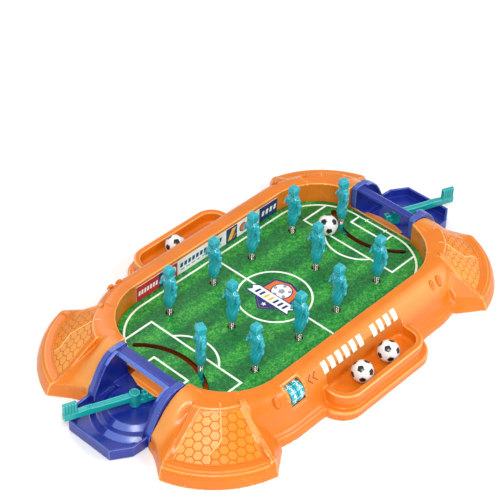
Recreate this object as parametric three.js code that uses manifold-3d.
// Tabletop spring football table: moulded frame, printed pitch board, two goals with keeper levers,
// twelve spring-mounted players, two score wheels and four balls.
// Millimetres, +Z up. Origin: centre of the footprint, on the surface the table stands on.
// X runs along the pitch from goal to goal, Y across it.
import * as THREE from 'three';
import { ConvexGeometry } from 'three/addons/geometries/ConvexGeometry.js';
import { mergeVertices } from 'three/addons/utils/BufferGeometryUtils.js';
import Module from 'manifold-3d';

const wasm = await Module();
wasm.setup();

// ---- driving dimensions ----
const GAP = 0.3;                 // clearance between pieces that touch
const RUNNING = 0.1;             // radial clearance of a pin in its bore
const SIMPLIFY = 0.06;           // facets flatter than this are merged
const WALL = 2.5;                // moulding thickness
const BOARD_TOP = 25;            // playing surface
const BOARD_THICK = 3;
const RIM_TOP = 47.5;            // flat lip round the pitch
const RIM_WIDTH = 8;
const INNER_X = 164;             // half length of the opening in the frame
const INNER_Y = 91.5;            // half width of the opening
const INNER_R = 61;              // corner radius of the opening
const SKIRT = 39.5;              // opening to the outer foot of the frame
const CORNER_SEGMENTS = 7;

const WING_CENTRE = [130, 42];   // centre of the corner fans' arcs
const WING_STEP_R = 55;          // where the fan starts to slope
const WING_FOOT_R = 95;          // where the slope meets the ledge
const WING_LEDGE_R = 103;
const WING_GROUND_R = 111;
const WING_LEDGE_Z = 15;
const WING_HUB_R = 2;            // the fan starts this far from its centre, inside the ring
const HOLLOW_TOP = 43;           // ceiling of the hollow under the fan
const HOLLOW_LEDGE_Z = 10;       // ceiling of the hollow under the ledge
const WING_SEGMENTS = 8;
const PANEL_SINK = 1.2;          // honeycomb panel below its border ribs

const TRAY_HALF = 63;            // ball tray on each long side
const TRAY_REACH = 149;
const TRAY_TOP = 25;
const TRAY_FLOOR = 12;
const TRAY_CORNER_R = 21;
const TRAY_RIM = 6.5;            // width of the rim round the pocket
const POCKET_FRONT = 113.5;      // where the pocket cuts into the frame's slope
const POCKET_CORNER_R = 15;
const TRAY_SKIN = 2;             // tray wall below the pocket
const BEHIND_TRAY = [[-60, 60], [109.5, 132], 40];   // left solid behind the pocket
const TRAY_FLANGE_HALF = 70.5;
const TRAY_FLANGE_REACH = 153.5;
const FLANGE_CORNER_R = 25;
const FLANGE_BEVEL = 2;
const FLANGE_TOP = 10;

const GOAL_HALF = 35.3;          // inside half width of the goal
const GOAL_WALL = 6.7;
const GOAL_FRONT = 166.5;        // front of the crossbar
const GOAL_ROOF_BACK = 181;
const GOAL_ROOF_TOP = 51;
// crossbar between the arch walls, set below their tops, with a sloping lip at the back
const CROSSBAR = [
  [168.3, 46.3], [168.3, 48.8], [178, 48.2], [181.4, 45.2], [181.4, 43.4], [179.6, 43.4], [176.8, 46],
];
const SHELF = [[168.7, 23.3], [178.5, 20.6], [178.5, 18.8], [168.7, 18.8]];   // either side of the bridge
const SHELF_INNER = 24.6;
const GOAL_END = 250;            // outer face of the catch tray
const GOAL_TRAY_TOP = 13;
const GOAL_DECK = 11.5;
const GOAL_TRAY_FLOOR = 3;
const CUT_HALF = GOAL_HALF + GOAL_WALL + GAP;
const CHEEK_HALF = 56;           // outer face of the frame's cheeks beside the goal
const GOAL_TRAY_FRONT = 205;     // where the catch tray's walls start
const GOAL_LIP = 214;            // front of the catch tray's opening
const TERRACE_TOP_R = [28, 31.5];       // slope of the upper step round the pivot
const TERRACE_MID_R = [38.5, 42];       // slope of the lower step
const TERRACE_MID_Z = 7.2;

const PIVOT_X = 191.9;           // keeper lever pivot
const LEVER_ANGLE = 22;          // rest angle of both levers, degrees
const KEEPER_R = 66.4;           // pivot to keeper, also the radius of the slot
const SLOT_HALF_WIDTH = 2.9;
const SLOT_ANGLE = 46;           // half angle of the slot
const HANDLE_R = 70;             // pivot to the finger paddle
const ARM_Z = [13, 18];          // keeper arm, under the board
const BAR_Z = [19, 26];          // outer bar
const BOSS_R = 5.3;
const BOSS_TOP = 28;
const ARM_HALF = 3;
const BAR_START = 3.5;           // both arms start inside the boss
const BAR_ROOT = 3.6;            // half width of the outer bar at the boss
const ARM_END_R = 3.6;

const PLAYER_X = [90, 28];       // rows of four either side of the centre line
const PLAYER_Y = 57.3;
const MID_PLAYER_X = 62;
const HOLE_R = 4.2;
const SPRING_R = 2.75;
const SPRING_WIRE = 0.45;
const SPRING_PITCH = 3.6;
const SOCKET_TOP = 14;
const FIGURE_FOOT = 33;
const KEEPER_LIFT = 5;           // keepers stand this much higher
const FIGURE_HEIGHT = 50;

const POST_R = 2.4;              // keeper post, through the slot
const POST_TOP = 31;
const PIN_R = 2.2;               // fixed pin inside the lever boss
const PIN_TOP = 25.9;
const PADDLE_X0 = 56;
const PADDLE_TOP = 38;
const PADDLE_HALF = 1.7;
const PADDLE_RIBS = 5;
const RIB_PITCH = 2.8;
const RIB_HALF = 2.4;
const RAMP_FRONT = 166.2;
const RAMP_BACK = 178.5;
const BEAM_BACK = 168.4;         // full-width part of the bridge
const TONGUE = [[174, 24.5], [178.5, 10]];       // corners of its middle part

const BALL_R = 11;
const WHEEL_R = 10.8;
const WHEEL_WIDTH = 8.2;
const WHEEL_CENTRE = [-95.3, -106.3, 32.6];
const SCORE_WINDOW_X = [-104.7, -85.9];
const SCORE_WINDOW_Y = [-117.6, -104.9];
const AXLE_R = 1.5;
const BRACKET_X = [-107.3, -83.3];
const BRACKET_FOOT = 18.5;
const BRACKET_WALL = 2;
const BRACKET_REACH = 4;         // beyond the axle, forwards and upwards
const BRACKET_BACK = 0.9;
const WHEEL_GAP = 0.8;
const BUMPS = [[108, -112.5], [119, -112.5], [-120, -112.5], [-108, 111.3], [-119, 111.3], [120, 111.3]];
const BUMP_Z = 41.2;
const BUMP_SIZE = [2.3, 3.6, 2.6];
const BUMP_TILT = 40;

const ADVERT_HALF = 102.7;
const ADVERT_TOP = 43.3;
const ADVERT_THICK = 0.5;

const PLATE_TOP = 2.9;           // base plate, let into the underside of the frame
const PLATE_SEAT = 5;
const SCREW_R = 1.3;
const SCREW_HEAD_R = 3;
const SCREW_HEAD_TOP = 1.7;
const SCREW_END = 12;
const SCREW_POST_R = 4;
const SOCKET_R = 5;
const SCREW_PLACES = [[-108, 70], [0, 80], [108, 70], [-108, -70], [0, -80], [108, -70]];
const POST_PLACES = [[0, 26], [0, -26], [-90, 0], [90, 0], [-140, 64], [140, 64], [-140, -64], [140, -64]];

// field players, numbered left to right along the far row, then the near row, then the two between
const rowXs = [-PLAYER_X[0], -PLAYER_X[1], PLAYER_X[1], PLAYER_X[0]];
const PLAYERS = [
  ...rowXs.map((x) => ({ x, y: PLAYER_Y })),
  ...rowXs.map((x) => ({ x, y: -PLAYER_Y })),
  { x: -MID_PLAYER_X, y: 0 },
  { x: MID_PLAYER_X, y: 0 },
];

// x, y and the height of the surface that each ball lies on
const BALLS = [
  [-19, -130, TRAY_FLOOR], [20, -130, TRAY_FLOOR], [-11.5, 128, TRAY_FLOOR], [112, 28, BOARD_TOP],
];

// ---- materials ----
const material = (name, color, roughness, extra = {}) => new THREE.MeshStandardMaterial({
  name, color, roughness, metalness: 0, ...extra,
});
const ORANGE = material('frame_orange', 0xf58220, 0.28);
const BLUE = material('goal_blue', 0x2b46b4, 0.2, { transparent: true, opacity: 0.85 });
const TEAL = material('lever_teal', 0x10a9a8, 0.3);
const FIGURE = material('figure_teal', 0x2fb9c8, 0.2, { transparent: true, opacity: 0.9 });
const GRASS = material('pitch_print', 0x1e9440, 0.45);
const BOARD_CARD = material('advert_card', 0xc01828, 0.4);
const SPRING = material('spring_steel', 0xb8b4ae, 0.3, { metalness: 1 });
const STEEL = material('screw_steel', 0x9a9a9c, 0.35, { metalness: 1 });
const DIGITS = material('score_wheel', 0x1fb3b8, 0.35);
const BALL = material('ball_white', 0xf2f2f0, 0.35);
const UNDERSIDE = material('underside', 0xd86c18, 0.5);

// ---- solids ----
function solid(geometry) {
  const bare = geometry.clone();
  bare.deleteAttribute('normal');
  bare.deleteAttribute('uv');
  const merged = mergeVertices(bare, 1e-4);
  return new wasm.Manifold(new wasm.Mesh({
    numProp: 3,
    vertProperties: new Float32Array(merged.attributes.position.array),
    triVerts: new Uint32Array(merged.index.array),
  }));
}

function geometryOf(manifold) {
  const mesh = manifold.getMesh();
  const geometry = new THREE.BufferGeometry();
  geometry.setAttribute('position', new THREE.BufferAttribute(new Float32Array(mesh.vertProperties), 3));
  geometry.setIndex(new THREE.BufferAttribute(new Uint32Array(mesh.triVerts), 1));
  geometry.computeVertexNormals();
  return geometry;
}

const union = (solids) => solids.reduce((all, next) => all.add(next));
const cut = (body, tools) => tools.reduce((left, tool) => left.subtract(tool), body);

const group = new THREE.Group();
function addPart(name, body, look, { at = [0, 0, 0], turn = 0 } = {}) {
  const mesh = new THREE.Mesh(body.isBufferGeometry ? body : geometryOf(body), look);
  mesh.name = name;
  mesh.position.set(...at);
  mesh.rotation.z = THREE.MathUtils.degToRad(turn);
  group.add(mesh);
}

const radians = THREE.MathUtils.degToRad;
const polar = (cx, cy, r, degrees) => [
  cx + r * Math.cos(radians(degrees)),
  cy + r * Math.sin(radians(degrees)),
];
const arc = (cx, cy, r, from, to, steps) => Array.from(
  { length: steps + 1 },
  (_, i) => polar(cx, cy, r, from + ((to - from) * i) / steps),
);

function prism(outline, z0, z1) {
  const shape = new THREE.Shape(outline.map(([x, y]) => new THREE.Vector2(x, y)));
  const geometry = new THREE.ExtrudeGeometry(shape, { depth: z1 - z0, bevelEnabled: false });
  geometry.translate(0, 0, z0);
  return solid(geometry);
}

// outline in the XZ plane, extruded along Y from y0 to y1
function wallPrism(outline, y0, y1) {
  const flat = prism(outline.map(([x, z]) => [x, z]), -y1, -y0);
  return flat.rotate([90, 0, 0]);
}

function box(x0, x1, y0, y1, z0, z1) {
  return prism([[x0, y0], [x1, y0], [x1, y1], [x0, y1]], z0, z1);
}

function cylinder(r, z0, z1, x = 0, y = 0, segments = 16) {
  return prism(arc(x, y, r, 0, 360 - 360 / segments, segments - 1), z0, z1);
}

const hull = (points) => solid(new ConvexGeometry(points.map((p) => new THREE.Vector3(...p))));

// A closed body from one polygon placed at each station; place(station, u, z) gives the 3D point.
function sweep(profile, stations, place, closed) {
  const count = profile.length;
  const positions = stations.flatMap((s) => profile.flatMap(([u, z]) => place(s, u, z)));
  const index = [];
  const spans = closed ? stations.length : stations.length - 1;
  for (let i = 0; i < spans; i++) {
    const here = i * count;
    const next = ((i + 1) % stations.length) * count;
    for (let j = 0; j < count; j++) {
      const k = (j + 1) % count;
      index.push(here + j, next + j, next + k, here + j, next + k, here + k);
    }
  }
  if (!closed) {
    const flat = profile.map(([u, z]) => new THREE.Vector2(u, z));
    const last = (stations.length - 1) * count;
    const profileTurn = Math.sign(THREE.ShapeUtils.area(flat));
    for (const face of THREE.ShapeUtils.triangulateShape(flat, [])) {
      const faceTurn = Math.sign(THREE.ShapeUtils.area(face.map((i) => flat[i])));
      const [a, b, c] = faceTurn === profileTurn ? face : [...face].reverse();
      index.push(a, b, c);
      index.push(last + a, last + c, last + b);
    }
  }
  const geometry = new THREE.BufferGeometry();
  geometry.setAttribute('position', new THREE.Float32BufferAttribute(positions, 3));
  geometry.setIndex(index);
  return orientedSolid(geometry);
}

function orientedSolid(geometry) {
  const p = geometry.attributes.position;
  const index = geometry.index.array;
  const corner = (i) => new THREE.Vector3().fromBufferAttribute(p, index[i]);
  let volume = 0;
  for (let i = 0; i < index.length; i += 3) {
    volume += corner(i).dot(corner(i + 1).cross(corner(i + 2)));
  }
  if (volume < 0) {
    const flipped = Array.from(index);
    for (let i = 0; i < flipped.length; i += 3) {
      [flipped[i + 1], flipped[i + 2]] = [flipped[i + 2], flipped[i + 1]];
    }
    geometry.setIndex(flipped);
  }
  return solid(geometry);
}

// stations round the pitch opening: a corner-arc centre and an outward direction each
function openingStations(segments) {
  const cx = INNER_X - INNER_R;
  const cy = INNER_Y - INNER_R;
  const corners = [[cx, cy, 0], [-cx, cy, 90], [-cx, -cy, 180], [cx, -cy, 270]];
  return corners.flatMap(([x, y, start]) => Array.from(
    { length: segments + 1 },
    (_, i) => ({ x, y, angle: start + (90 * i) / segments }),
  ));
}

function ringSweep(profile) {
  return sweep(profile, openingStations(CORNER_SEGMENTS), (s, u, z) => {
    const [x, y] = polar(s.x, s.y, INNER_R + u, s.angle);
    return [x, y, z];
  }, true);
}

function roundedRect(halfX, halfY, r, segments = 8) {
  const cx = halfX - r;
  const cy = halfY - r;
  return [[cx, cy, 0], [-cx, cy, 90], [-cx, -cy, 180], [cx, -cy, 270]]
    .flatMap(([x, y, start]) => arc(x, y, r, start, start + 90, segments));
}

const aroundOpening = (offset) => roundedRect(
  INNER_X + offset, INNER_Y + offset, INNER_R + offset, CORNER_SEGMENTS,
);

const mirrored = (body, sx, sy) => body.scale([sx, sy, 1]);
const fourWays = (body) => [[1, 1], [-1, 1], [-1, -1], [1, -1]].map(([sx, sy]) => mirrored(body, sx, sy));
const bothLongSides = (body) => [body, mirrored(body, 1, -1)];
const bothEnds = (body) => [body, mirrored(body, -1, 1)];

// ---- frame shell ----
const RING_PROFILE = [
  [0, 0], [0, RIM_TOP], [RIM_WIDTH, RIM_TOP], [12.6, 47], [17.5, 44.6], [21.5, 40.4], [24.6, 34.5],
  [27, 27], [29, 19.5], [31.5, 13.4], [34.2, FLANGE_TOP + 0.8], [36.8, FLANGE_TOP - 0.6],
  [38.8, 7], [SKIRT, 4], [SKIRT, 0],
];
const RING_HOLLOW = [
  [WALL, -1], [WALL, 44.9], [11, 44.7], [16.2, 42.4], [19.5, 38.8], [22.2, 33.4], [24.5, 26.2],
  [26.5, 18.6], [29.3, 11.6], [32.5, 8], [36, 5.8], [SKIRT - WALL, 3], [SKIRT - WALL, -1],
];

function wedge(profile, steps = WING_SEGMENTS) {
  const stations = Array.from({ length: steps + 1 }, (_, i) => -12 + (114 * i) / steps);
  return sweep(profile, stations, (angle, r, z) => [...polar(...WING_CENTRE, r, angle), z], false);
}

const RIB_LONG = [[142, 84], [154.5, 143]];      // outer edge of the rib on the long-side border
const RIB_END = [[166, 60], [226.5, 72.2]];      // outer edge of the rib on the goal-side border
const PANEL_CORNERS = [[150, 95], [159.5, 133], [190, 160], [240, 130], [218, 75.5], [175.8, 71]];
const HOLLOW_PLAN = [[150, 78], [160, 68], [222, 77], [225, 90], [250, 180], [160, 180], [158.5, 140]];

function wing() {
  const fan = wedge([
    [WING_HUB_R, 0], [WING_HUB_R, RIM_TOP - 0.5], [WING_STEP_R, RIM_TOP - 0.5], [WING_FOOT_R, WING_LEDGE_Z],
    [WING_LEDGE_R - 1, WING_LEDGE_Z], [WING_LEDGE_R + 2.5, WING_LEDGE_Z - 1.5],
    [WING_LEDGE_R + 5, 10], [WING_GROUND_R, 0],
  ]);
  const plan = prism([[120, 40], RIB_END[0], RIB_END[1], [236, 75.2], [250, 180], [155.8, 180],
    [155.8, 149.2], RIB_LONG[1], RIB_LONG[0]], -2, 60);
  const longFlare = hull([
    [...RIB_LONG[0], 46.5], [...RIB_LONG[1], WING_LEDGE_Z], [157.2, 144.6, WING_LEDGE_Z - 1.5],
    [155.8, 149.2, 0], [126.5, 128.4, 0], [128.5, 126.4, 10.5],
    [160, 120, 0], [160, 120, 12], [150, 84, 0], [150, 84, 40],
  ]);
  const endFlare = hull([
    [...RIB_END[0], 46.5], [...RIB_END[1], WING_LEDGE_Z], [229.5, 74, WING_LEDGE_Z - 2],
    [234.4, 75, 0], [216.5, 49, 0], [212, 46.5, 17.5], [168, 50, 45.5], [168, 50, 0],
    [200, 80, 0], [200, 80, 12], [166, 70, 0], [166, 70, 40],
  ]);
  const slope = (RIM_TOP - 0.5 - WING_LEDGE_Z) / (WING_FOOT_R - WING_STEP_R);
  const topAt = (r) => RIM_TOP - 0.5 - slope * (r - WING_STEP_R) - PANEL_SINK;
  const sunk = wedge([
    [WING_STEP_R + 1, topAt(WING_STEP_R + 1)], [WING_STEP_R + 1, 60],
    [WING_FOOT_R, 60], [WING_FOOT_R, topAt(WING_FOOT_R)],
  ]).intersect(prism(PANEL_CORNERS, -2, 62));
  return fan.intersect(plan).add(longFlare).add(endFlare).subtract(sunk);
}

function wingHollow() {
  return wedge([
    [20, -1], [20, HOLLOW_TOP], [WING_STEP_R - 2, HOLLOW_TOP], [WING_FOOT_R - 3, HOLLOW_LEDGE_Z],
    [WING_LEDGE_R, HOLLOW_LEDGE_Z], [WING_GROUND_R - 5, -1],
  ]).intersect(prism(HOLLOW_PLAN, -2, 60));
}

function endCheek() {
  const outline = [
    [164, 0], [164, RIM_TOP], [172, RIM_TOP], [180, 46.4], [187, 43.4], [194, 38], [200, 31.5],
    [206, 24], [210, 19.5], [212, 18], [213, 9.5], [216, 7], [216.8, 0],
  ];
  return wallPrism(outline, CUT_HALF, CHEEK_HALF);
}

function trayOutline(half, reach, r, start = 100) {
  return [
    [half, start], ...arc(half - r, reach - r, r, 0, 90, 6),
    ...arc(r - half, reach - r, r, 90, 180, 6), [-half, start],
  ];
}

function frameShell() {
  const inset = (by, r, start) => trayOutline(TRAY_HALF - by, TRAY_REACH - by, r, start);
  const flangeInset = (by) =>
    trayOutline(TRAY_FLANGE_HALF - by, TRAY_FLANGE_REACH - by, FLANGE_CORNER_R - by);
  const tray = prism(inset(0, TRAY_CORNER_R), 0, TRAY_TOP);
  const trayFlange = prism(flangeInset(0), 0, FLANGE_TOP - 1.5);
  const trayFlangeTop = prism(flangeInset(FLANGE_BEVEL), 0, FLANGE_TOP);
  const pocket = prism(inset(TRAY_RIM, POCKET_CORNER_R, POCKET_FRONT), TRAY_FLOOR, 70);
  const underTray = prism(inset(TRAY_SKIN, TRAY_CORNER_R - TRAY_SKIN, 110), -1, TRAY_FLOOR - WALL);
  const [behindX, behindY, behindTop] = BEHIND_TRAY;
  const behindTray = box(...behindX, ...behindY, TRAY_FLOOR - WALL, behindTop);
  const outside = union([
    ringSweep(RING_PROFILE), ...fourWays(wing()), ...fourWays(endCheek()),
    ...bothLongSides(tray), ...bothLongSides(trayFlange), ...bothLongSides(trayFlangeTop),
  ]);
  const besideGoal = box(150, 230, -CUT_HALF - WALL, CUT_HALF + WALL, -2, 60);
  const ringHollow = cut(ringSweep(RING_HOLLOW), [...bothLongSides(behindTray), ...bothEnds(besideGoal)]);
  const [windowX0, windowX1] = SCORE_WINDOW_X;
  const shell = cut(outside, [
    ringHollow, ...fourWays(wingHollow()), ...bothLongSides(pocket), ...bothLongSides(underTray),
    ...bothEnds(box(150, 300, -CUT_HALF, CUT_HALF, -5, 70)),
    prism(aroundOpening(0), -5, 70),
    prism(aroundOpening(PLATE_SEAT), -5, PLATE_TOP + GAP),
    box(windowX0, windowX1, ...SCORE_WINDOW_Y, 25, 60),
  ]);
  return union([shell, ...bothEnds(bridge(0)), ...BUMPS.map(([x, y]) => bump(x, y))]).simplify(SIMPLIFY);
}

// sloping bridge across the goal mouth, over the keeper arm: a beam with a tongue in the middle
function bridge(grow) {
  const section = [
    [RAMP_FRONT - grow, 24 + 2 * grow], [RAMP_BACK + grow, 20.6 + grow],
    [RAMP_BACK + grow, 19 - grow], [RAMP_FRONT - grow, 21.7 - grow],
  ];
  const half = CUT_HALF + WALL / 2;
  const [corner, tip] = TONGUE.map(([x, y]) => [x + grow, y + grow]);
  const side = [[BEAM_BACK + grow, half], [BEAM_BACK + grow, corner[1]], corner, tip];
  const plan = [[INNER_X, -half], ...side.map(([x, y]) => [x, -y]), ...side.reverse(), [INNER_X, half]];
  return wallPrism(section, -half, half).intersect(prism(plan, 0, RIM_TOP));
}

// low teardrop bump on the sloping side
function bump(x, y) {
  const shape = new THREE.IcosahedronGeometry(1, 1);
  shape.scale(...BUMP_SIZE);
  shape.rotateX(-Math.sign(y) * radians(BUMP_TILT));
  shape.translate(x, y, BUMP_Z);
  return solid(shape);
}

// ---- underside ----
function basePlate() {
  const plate = cut(prism(aroundOpening(PLATE_SEAT - GAP), GAP, PLATE_TOP), [
    ...bothEnds(box(INNER_X - 0.6, 200, -CUT_HALF - 3, CUT_HALF + 3, -5, 10)),
  ]);
  const sockets = PLAYERS.map(({ x, y }) => cylinder(SOCKET_R, PLATE_TOP - GAP, SOCKET_TOP, x, y, 8));
  const posts = [...SCREW_PLACES, ...POST_PLACES]
    .map(([x, y]) => cylinder(SCREW_POST_R, PLATE_TOP - GAP, BOARD_TOP - BOARD_THICK - GAP, x, y, 8));
  const screwHoles = SCREW_PLACES.flatMap(([x, y]) => [
    cylinder(SCREW_HEAD_R + GAP, -1, SCREW_HEAD_TOP + GAP, x, y, 10),
    cylinder(SCREW_R + GAP, -1, SCREW_END + GAP, x, y, 8),
  ]);
  return cut(union([plate, ...sockets, ...posts]), screwHoles);
}

function baseScrew() {
  return cylinder(SCREW_HEAD_R, 2 * GAP, SCREW_HEAD_TOP, 0, 0, 10)
    .add(cylinder(SCREW_R, 2 * GAP, SCREW_END, 0, 0, 8));
}

// ---- pitch ----
function slotOutline(side) {
  const pivot = side * PIVOT_X;
  const inward = side > 0 ? 180 : 0;
  const outer = arc(pivot, 0, KEEPER_R + SLOT_HALF_WIDTH, inward - SLOT_ANGLE, inward + SLOT_ANGLE, 16);
  const inner = arc(pivot, 0, KEEPER_R - SLOT_HALF_WIDTH, inward + SLOT_ANGLE, inward - SLOT_ANGLE, 16);
  const endCap = (angle, turn) => {
    const [x, y] = polar(pivot, 0, KEEPER_R, angle);
    return arc(x, y, SLOT_HALF_WIDTH, angle + turn, angle + turn + 180, 4).slice(1, -1);
  };
  return [...outer, ...endCap(inward + SLOT_ANGLE, 0), ...inner, ...endCap(inward - SLOT_ANGLE, 180)];
}

function pitchBoard() {
  const bottom = BOARD_TOP - BOARD_THICK;
  const outline = aroundOpening(-0.5);
  const holes = PLAYERS.map(({ x, y }) => cylinder(HOLE_R, bottom - 1, BOARD_TOP + 1, x, y, 14));
  const slots = [1, -1].map((side) => prism(slotOutline(side), bottom - 1, BOARD_TOP + 1));
  return cut(prism(outline, bottom, BOARD_TOP), [...holes, ...slots]);
}

function advertStrip() {
  const face = INNER_Y - GAP;
  return box(-ADVERT_HALF, ADVERT_HALF, face - ADVERT_THICK, face, BOARD_TOP + GAP, ADVERT_TOP);
}

// ---- goals, built at +X ----
function goal() {
  const arch = [
    [GOAL_FRONT, GAP], [GOAL_FRONT, GOAL_ROOF_TOP], [GOAL_ROOF_BACK, GOAL_ROOF_TOP], [186, 50.2],
    [192, 47], [198, 41], [203, 33.5], [207.5, 25], [211, 18], [213.5, GOAL_TRAY_TOP], [213.5, GAP],
  ];
  const sideWall = wallPrism(arch, GOAL_HALF, GOAL_HALF + GOAL_WALL);
  const roof = wallPrism(CROSSBAR, -GOAL_HALF - 1, GOAL_HALF + 1);
  const shelf = wallPrism(SHELF, SHELF_INNER, GOAL_HALF + 1);
  const trayShape = (inset) => [
    [GOAL_TRAY_FRONT, -40 + inset], [215, -40 + inset], [231.5 - inset * 0.3, -39.3 + inset],
    [GOAL_END - inset, -27.2 + inset * 0.6], [GOAL_END - inset, 27.2 - inset * 0.6],
    [231.5 - inset * 0.3, 39.3 - inset], [215, 40 - inset], [GOAL_TRAY_FRONT, 40 - inset],
  ];
  const tray = prism(trayShape(0), GAP, GOAL_TRAY_TOP)
    .subtract(prism(trayShape(WALL), GOAL_TRAY_FLOOR, 40))
    .subtract(box(PIVOT_X - 2, GOAL_LIP, -GOAL_HALF, GOAL_HALF, GOAL_TRAY_FLOOR, 40));
  const floor = box(GOAL_FRONT, GOAL_LIP + 1, -GOAL_HALF - 1, GOAL_HALF + 1, GAP, GOAL_TRAY_FLOOR);
  const terraces = new THREE.LatheGeometry([
    [0, GAP], [TERRACE_MID_R[1], GAP], [TERRACE_MID_R[1], GOAL_TRAY_FLOOR], [TERRACE_MID_R[0], TERRACE_MID_Z],
    [TERRACE_TOP_R[1], TERRACE_MID_Z], [TERRACE_TOP_R[0], GOAL_DECK], [0, GOAL_DECK],
  ].map(([r, z]) => new THREE.Vector2(r, z)), 40);
  terraces.rotateX(Math.PI / 2);
  terraces.translate(PIVOT_X, 0, 0);
  const deck = orientedSolid(cleaned(terraces))
    .intersect(box(GOAL_FRONT, GOAL_END, -GOAL_HALF - 1, GOAL_HALF + 1, -1, 30))
    .add(box(GOAL_FRONT, PIVOT_X - 6, -GOAL_HALF - 1, GOAL_HALF + 1, GAP, GOAL_DECK));
  const pin = cylinder(PIN_R, GAP, PIN_TOP, PIVOT_X, 0, 14);
  return union([...bothLongSides(sideWall), ...bothLongSides(shelf), roof, tray, floor, deck, pin])
    .subtract(bridge(GAP));
}

// drops the collapsed triangles that a lathe has on its axis
function cleaned(geometry) {
  const bare = geometry.clone();
  bare.deleteAttribute('normal');
  bare.deleteAttribute('uv');
  const merged = mergeVertices(bare, 1e-4);
  const index = merged.index.array;
  const kept = [];
  for (let i = 0; i < index.length; i += 3) {
    const [a, b, c] = [index[i], index[i + 1], index[i + 2]];
    if (a !== b && b !== c && a !== c) kept.push(a, b, c);
  }
  merged.setIndex(kept);
  return merged;
}

// ---- keeper lever, pivot at the origin, handle towards +X ----
function lever() {
  const boss = cylinder(BOSS_R, GOAL_DECK + GAP, BOSS_TOP, 0, 0, 20)
    .subtract(cylinder(PIN_R + RUNNING, 0, PIN_TOP + GAP, 0, 0, 14));
  const barOutline = [
    [BAR_START, -BAR_ROOT], [PADDLE_X0, -ARM_HALF], [HANDLE_R, -ARM_HALF],
    [HANDLE_R, ARM_HALF], [PADDLE_X0, ARM_HALF], [BAR_START, BAR_ROOT],
  ];
  const bar = prism(barOutline, ...BAR_Z);
  const paddle = box(PADDLE_X0, HANDLE_R, -PADDLE_HALF, PADDLE_HALF, BAR_Z[1] - 1, PADDLE_TOP);
  const ribs = Array.from({ length: PADDLE_RIBS }, (_, i) => {
    const x = PADDLE_X0 + 0.8 + i * RIB_PITCH;
    return box(x, x + RIB_PITCH / 2, -RIB_HALF, RIB_HALF, BAR_Z[1] - 1, PADDLE_TOP - 0.6);
  });
  const arm = box(-KEEPER_R, -BAR_START, -ARM_HALF, ARM_HALF, ...ARM_Z);
  const armEnd = cylinder(ARM_END_R, ...ARM_Z, -KEEPER_R, 0, 14);
  const post = cylinder(POST_R, ARM_Z[0], POST_TOP, -KEEPER_R, 0, 12);
  return union([boss, bar, paddle, ...ribs, arm, armEnd, post]);
}

// ---- players ----
function blockLoft(sections) {
  const outline = arc(0, 0, 1.1, 30, 330, 5);
  const points = ([z, halfX, halfY]) => outline.map(([x, y]) => [x * halfX, y * halfY, z]);
  return union(sections.slice(1).map((section, i) => hull([...points(sections[i]), ...points(section)])));
}

function limb(from, to, r0, r1) {
  const knob = ([x, y, z], r) => [[1, 0, 0], [-1, 0, 0], [0, 1, 0], [0, -1, 0], [0, 0, 1], [0, 0, -1]]
    .map(([i, j, k]) => [x + r * i, y + r * j, z + r * k]);
  return hull([...knob(from, r0), ...knob(to, r1)]);
}

// one footballer, foot of the peg at the origin, facing -X
function figure() {
  const legs = blockLoft([[0, 3.3, 3.4], [11, 5.3, 6.1], [20, 4.1, 4.7]]);
  const torso = blockLoft([[19.9, 4.1, 4.7], [34, 4.6, 6.1], [37.5, 3.6, 4.6]]);
  const head = blockLoft([[37, 2.4, 2.4], [40.5, 4.7, 4.6], [46.5, 5, 4.9], [FIGURE_HEIGHT, 3.1, 3.4]]);
  const arms = [
    limb([0, -5.6, 34.8], [-0.6, -8.2, 28], 2.4, 2),
    limb([-0.6, -8.2, 28], [-2.2, -9.6, 21.5], 2, 1.7),
    limb([0, 5.6, 34.8], [0.8, 8.2, 29.5], 2.4, 2),
  ];
  return union([legs, torso, head, ...arms]);
}

// coil spring, drawn as its outer sleeve with a groove between turns
function spring(length) {
  const turns = Math.round(length / SPRING_PITCH);
  const pitch = length / turns;
  const profile = [[0, 0]];
  for (let i = 0; i < turns; i++) {
    profile.push([SPRING_R - SPRING_WIRE, i * pitch], [SPRING_R, (i + 0.5) * pitch]);
  }
  profile.push([SPRING_R - SPRING_WIRE, length], [0, length]);
  const geometry = new THREE.LatheGeometry(profile.map(([r, z]) => new THREE.Vector2(r, z)), 6);
  geometry.rotateX(Math.PI / 2);
  return orientedSolid(cleaned(geometry));
}

// ---- score wheels, axis along X ----
function scoreWheel() {
  const blank = cylinder(WHEEL_R, -WHEEL_WIDTH / 2, WHEEL_WIDTH / 2, 0, 0, 28);
  const bore = cylinder(AXLE_R + RUNNING, -WHEEL_WIDTH, WHEEL_WIDTH, 0, 0, 12);
  return blank.subtract(bore).rotate([0, 90, 0]);
}

function scoreBracket() {
  const [, cy, cz] = WHEEL_CENTRE;
  const [x0, x1] = BRACKET_X;
  const back = -INNER_Y - WALL - GAP;
  const front = cy - BRACKET_REACH;
  const top = cz + BRACKET_REACH;
  const cheek = (x) => box(x, x + BRACKET_WALL, front, back, BRACKET_FOOT, top);
  const foot = box(x0, x1, front, back, BRACKET_FOOT, BRACKET_FOOT + BRACKET_WALL);
  const backPlate = box(x0, x1, back - BRACKET_BACK, back, BRACKET_FOOT, top);
  const hole = cylinder(AXLE_R + RUNNING, -40, 40, 0, 0, 12).rotate([0, 90, 0]).translate([...WHEEL_CENTRE]);
  return union([cheek(x0), cheek(x1 - BRACKET_WALL), foot, backPlate]).subtract(hole);
}

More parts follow.
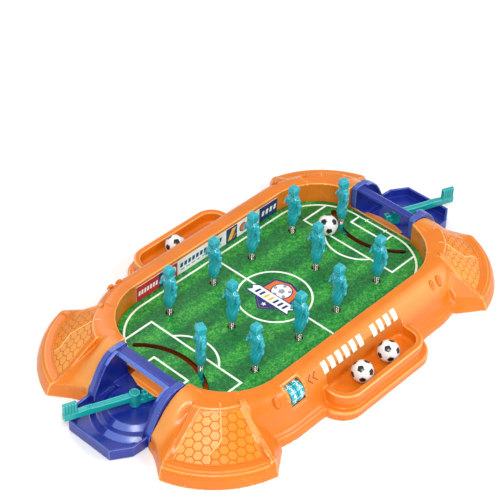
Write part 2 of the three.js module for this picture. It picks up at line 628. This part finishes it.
// ---- assembly ----
addPart('frame_shell', frameShell(), ORANGE);
addPart('base_plate', basePlate(), UNDERSIDE);
SCREW_PLACES.forEach(([x, y], i) => addPart(`base_screw_${i + 1}`, baseScrew(), STEEL, { at: [x, y, 0] }));
addPart('pitch_board', pitchBoard(), GRASS);
addPart('advert_strip_rear', advertStrip(), BOARD_CARD);
addPart('advert_strip_front', advertStrip(), BOARD_CARD, { turn: 180 });

for (const [side, turn] of [['right', 0], ['left', 180]]) {
  addPart(`goal_${side}`, goal(), BLUE, { turn });
  const pivot = polar(0, 0, PIVOT_X, turn);
  addPart(`lever_${side}`, lever(), TEAL, { at: [...pivot, 0], turn: turn - LEVER_ANGLE });
  const keeper = polar(...pivot, KEEPER_R, turn + 180 - LEVER_ANGLE);
  addPart(`keeper_${side}`, figure(), FIGURE, {
    at: [...keeper, FIGURE_FOOT + KEEPER_LIFT],
    turn: -LEVER_ANGLE,
  });
  addPart(`keeper_spring_${side}`, spring(FIGURE_FOOT + KEEPER_LIFT - POST_TOP - 2 * GAP), SPRING, {
    at: [...keeper, POST_TOP + GAP],
  });
}

PLAYERS.forEach(({ x, y }, i) => {
  addPart(`player_${i + 1}`, figure(), FIGURE, { at: [x, y, FIGURE_FOOT] });
  addPart(`player_spring_${i + 1}`, spring(FIGURE_FOOT - SOCKET_TOP - 2 * GAP), SPRING, {
    at: [x, y, SOCKET_TOP + GAP],
  });
});

const [wheelX, wheelY, wheelZ] = WHEEL_CENTRE;
[['left', -1], ['right', 1]].forEach(([side, way]) => {
  const x = wheelX + (way * (WHEEL_WIDTH + WHEEL_GAP)) / 2;
  addPart(`score_wheel_${side}`, scoreWheel(), DIGITS, { at: [x, wheelY, wheelZ] });
});
const [axleStart, axleEnd] = BRACKET_X.map((x) => x - wheelX);
addPart('score_axle', cylinder(AXLE_R, axleStart, axleEnd, 0, 0, 12).rotate([0, 90, 0]), STEEL, {
  at: WHEEL_CENTRE,
});
addPart('score_bracket', scoreBracket(), UNDERSIDE);

BALLS.forEach(([x, y, floor], i) => {
  addPart(`ball_${i + 1}`, solid(new THREE.IcosahedronGeometry(BALL_R, 2)), BALL, {
    at: [x, y, floor + GAP + BALL_R],
  });
});

export default group;
